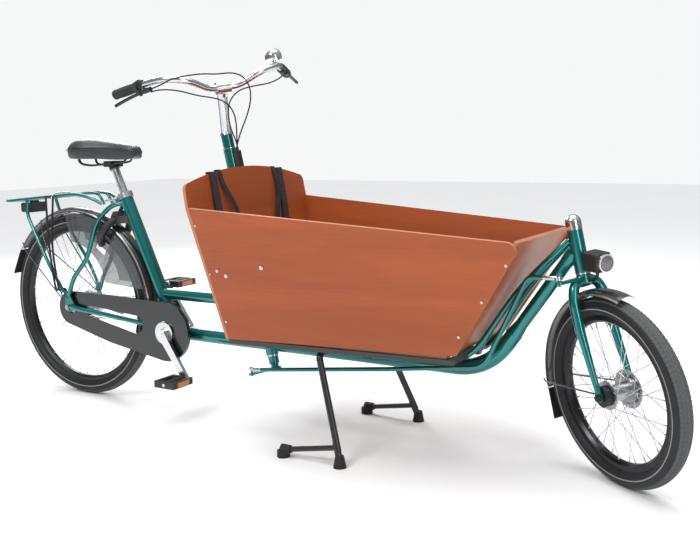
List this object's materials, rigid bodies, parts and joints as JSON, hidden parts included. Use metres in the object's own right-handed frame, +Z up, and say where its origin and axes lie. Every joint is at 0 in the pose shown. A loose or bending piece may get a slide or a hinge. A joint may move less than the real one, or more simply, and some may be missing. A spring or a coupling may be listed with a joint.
{
  "type": "cargo bicycle",
  "caption": "Two-wheel cargo bicycle with a tapered plywood box between the riding position and a small steered front wheel, standing on a folding parking stand.",
  "frame": {"origin": "on the ground in the bicycle's middle plane, straight below the rear axle", "axes": "+X forward, +Y to the rider's left, +Z up"},
  "size_m": [2.509, 0.6278, 1.1998],
  "materials": {
    "teal_paint": "metallic teal paint",
    "plywood": "film-faced plywood",
    "black_steel": "satin black",
    "grey_rail": "dark grey",
    "silver": "polished alloy",
    "chrome": "bright chrome",
    "tyre": "black rubber",
    "rim": "black anodised",
    "rubber": "black rubber",
    "black_plastic": "matt black",
    "gloss_black": "gloss black",
    "clear": "smoked clear",
    "fabric": "woven webbing",
    "cover": "saddle cover",
    "fender": "dark grey with bright edges",
    "chain_steel": "oiled steel"
  },
  "bodies": {
    "frame": {"frame_main": "teal_paint", "rear_stays": "teal_paint", "rear_carrier": "teal_paint", "cargo_rail": "grey_rail", "box_side_right": "plywood", "box_side_left": "plywood", "box_front_panel": "plywood", "box_back_panel": "plywood", "box_floor": "plywood", "box_bolts": "silver", "belts": "fabric", "bearing_cups": "silver", "seat_clamp": "silver", "rear_fender": "fender", "rear_mudflap": "rubber", "coat_guards": "clear", "ring_lock": "black_plastic", "rear_lamp": "black_plastic", "carrier_straps": "rubber", "chaincase": "gloss_black", "chain": "chain_steel", "rear_axle_brake": "silver", "cable_cover": "black_plastic"},
    "clamp_lever": {"seat_clamp_lever": "silver"},
    "bow": {"lock_bow": "chrome"},
    "rear_wheel": {"rear_tyre": "tyre", "rear_rim": "rim", "rear_spokes": "silver", "rear_hub": "silver"},
    "cranks": {"crank_right": "silver", "crank_left": "silver"},
    "pedal_r": {"pedal_right": "black_plastic"},
    "pedal_l": {"pedal_left": "black_plastic"},
    "seat": {"seatpost": "silver", "saddle": "cover", "saddle_frame": "black_steel"},
    "column": {"steering_shaft": "teal_paint", "stem": "silver", "handlebar": "silver", "grips": "rubber", "lever_mounts": "black_plastic", "bell": "chrome", "bar_cables": "rubber"},
    "lever_r": {"brake_lever_right": "black_plastic"},
    "lever_l": {"brake_lever_left": "black_plastic"},
    "shifter": {"twist_shifter": "black_plastic"},
    "rod": {"tie_rod": "teal_paint", "rod_ends": "silver"},
    "fork_group": {"fork": "teal_paint", "head_dome": "chrome", "front_fender": "fender", "front_mudflap": "rubber", "front_axle_brake": "silver", "front_lamp": "black_plastic"},
    "front_wheel": {"front_tyre": "tyre", "front_rim": "rim", "front_spokes": "silver", "front_hub": "silver"},
    "parking_stand": {"stand": "black_steel", "stand_feet": "rubber"}
  },
  "joints": [
    {"name": "steering", "type": "hinge", "parent": "frame", "child": "column", "pos_m": [0.6866, 0, 0.9295], "axis": [-0.2164, 0, 0.9763], "range_deg": [-5, 50]},
    {"name": "rod_pivot", "type": "hinge", "parent": "column", "child": "rod", "pos_m": [0.8063, -0.06553, 0.17758], "axis": [-0.2164, 0, 0.9763], "range_deg": [-50, 5]},
    {"name": "fork_turn", "type": "hinge", "parent": "frame", "child": "fork_group", "pos_m": [1.8155, 0, 0.7044], "axis": [-0.2164, 0, 0.9763], "range_deg": [-5, 50]},
    {"name": "front_wheel_spin", "type": "hinge", "parent": "fork_group", "child": "front_wheel", "pos_m": [1.94908, -0.02294, 0.25324], "axis": [0.56, 0.8192, 0.1241], "continuous": true},
    {"name": "rear_wheel_spin", "type": "hinge", "parent": "frame", "child": "rear_wheel", "pos_m": [0, 0, 0.33], "axis": [0, 1, 0], "continuous": true},
    {"name": "crank_spin", "type": "hinge", "parent": "frame", "child": "cranks", "pos_m": [0.442, 0, 0.275], "axis": [0, 1, 0], "continuous": true},
    {"name": "pedal_right_spin", "type": "hinge", "parent": "cranks", "child": "pedal_r", "pos_m": [0.53706, -0.13, 0.13406], "axis": [0, 1, 0], "continuous": true},
    {"name": "pedal_left_spin", "type": "hinge", "parent": "cranks", "child": "pedal_l", "pos_m": [0.34694, 0.13, 0.41594], "axis": [0, 1, 0], "continuous": true},
    {"name": "seat_height", "type": "slide", "parent": "frame", "child": "seat", "axis": [-0.416, 0, 0.9094], "range_m": [-0.045, 0.08]},
    {"name": "seat_clamp_turn", "type": "hinge", "parent": "frame", "child": "clamp_lever", "pos_m": [0.20849, -0.0204, 0.7157], "axis": [0, 1, 0], "range_deg": [0, 120]},
    {"name": "lock_bow_turn", "type": "hinge", "parent": "frame", "child": "bow", "pos_m": [0.17537, 0, 0.60005], "axis": [-0.8387, 0, 0.5446], "range_deg": [0, 84]},
    {"name": "brake_lever_right_pull", "type": "hinge", "parent": "column", "child": "lever_r", "pos_m": [0.51888, -0.20585, 1.06184], "axis": [-0.2097, -0.7959, 0.5679], "range_deg": [-12, 0], "stiffness_Nm_per_rad": 2, "springref_deg": 11.46},
    {"name": "brake_lever_left_pull", "type": "hinge", "parent": "column", "child": "lever_l", "pos_m": [0.79452, 0.19736, 1.12294], "axis": [-0.5731, -0.3491, -0.7415], "range_deg": [-12, 0], "stiffness_Nm_per_rad": 2, "springref_deg": 11.46},
    {"name": "shifter_twist", "type": "hinge", "parent": "column", "child": "shifter", "pos_m": [0.49042, -0.18343, 1.08274], "axis": [-0.9754, 0.13, -0.1779], "range_deg": [-75, 75]},
    {"name": "stand_fold", "type": "hinge", "parent": "frame", "child": "parking_stand", "pos_m": [1.141, 0, 0.303], "axis": [0, 1, 0], "range_deg": [0, 65]}
  ],
  "couplings": [
    {"joint": "rod_pivot", "follows": "steering", "ratio": -1},
    {"joint": "fork_turn", "follows": "steering", "ratio": 1}
  ]
}
